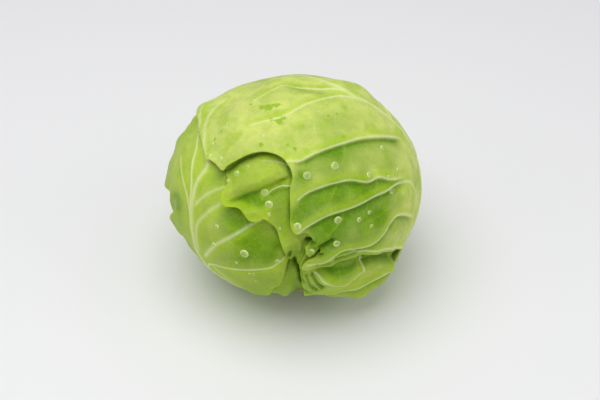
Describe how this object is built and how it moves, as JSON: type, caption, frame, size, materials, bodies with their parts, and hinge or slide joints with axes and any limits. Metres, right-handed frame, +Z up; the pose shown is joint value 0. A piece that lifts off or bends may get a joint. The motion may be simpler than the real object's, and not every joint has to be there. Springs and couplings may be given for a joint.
{
  "type": "cabbage head",
  "caption": "Round cabbage head lying on its side: a dense ball of leaves on a cut stalk, wrapped in broad ribbed outer leaves.",
  "frame": {"origin": "centre of the small flat spot that the head rests on", "axes": "+Z up; the side with the overlapping leaf margins faces -Y; the stalk's axis leans back 38 degrees, its cut end low towards -Y"},
  "size_m": [0.182, 0.1728, 0.1623],
  "materials": {
    "inner_leaf": "waxy, pale yellow-green",
    "stalk": "matt, cut fibres, cream",
    "outer_leaf_pale": "waxy, light green with paler ribs",
    "outer_leaf_green": "waxy, mid green with paler ribs"
  },
  "bodies": {
    "root": {"head": "inner_leaf", "stalk": "stalk", "leaf_over_top": "outer_leaf_pale", "leaf_low_right": "outer_leaf_green", "leaf_under_margin": "outer_leaf_green", "leaf_left": "outer_leaf_green", "leaf_back_left": "outer_leaf_green", "leaf_low_front": "outer_leaf_green", "leaf_low_back": "outer_leaf_green"}
  },
  "joints": []
}
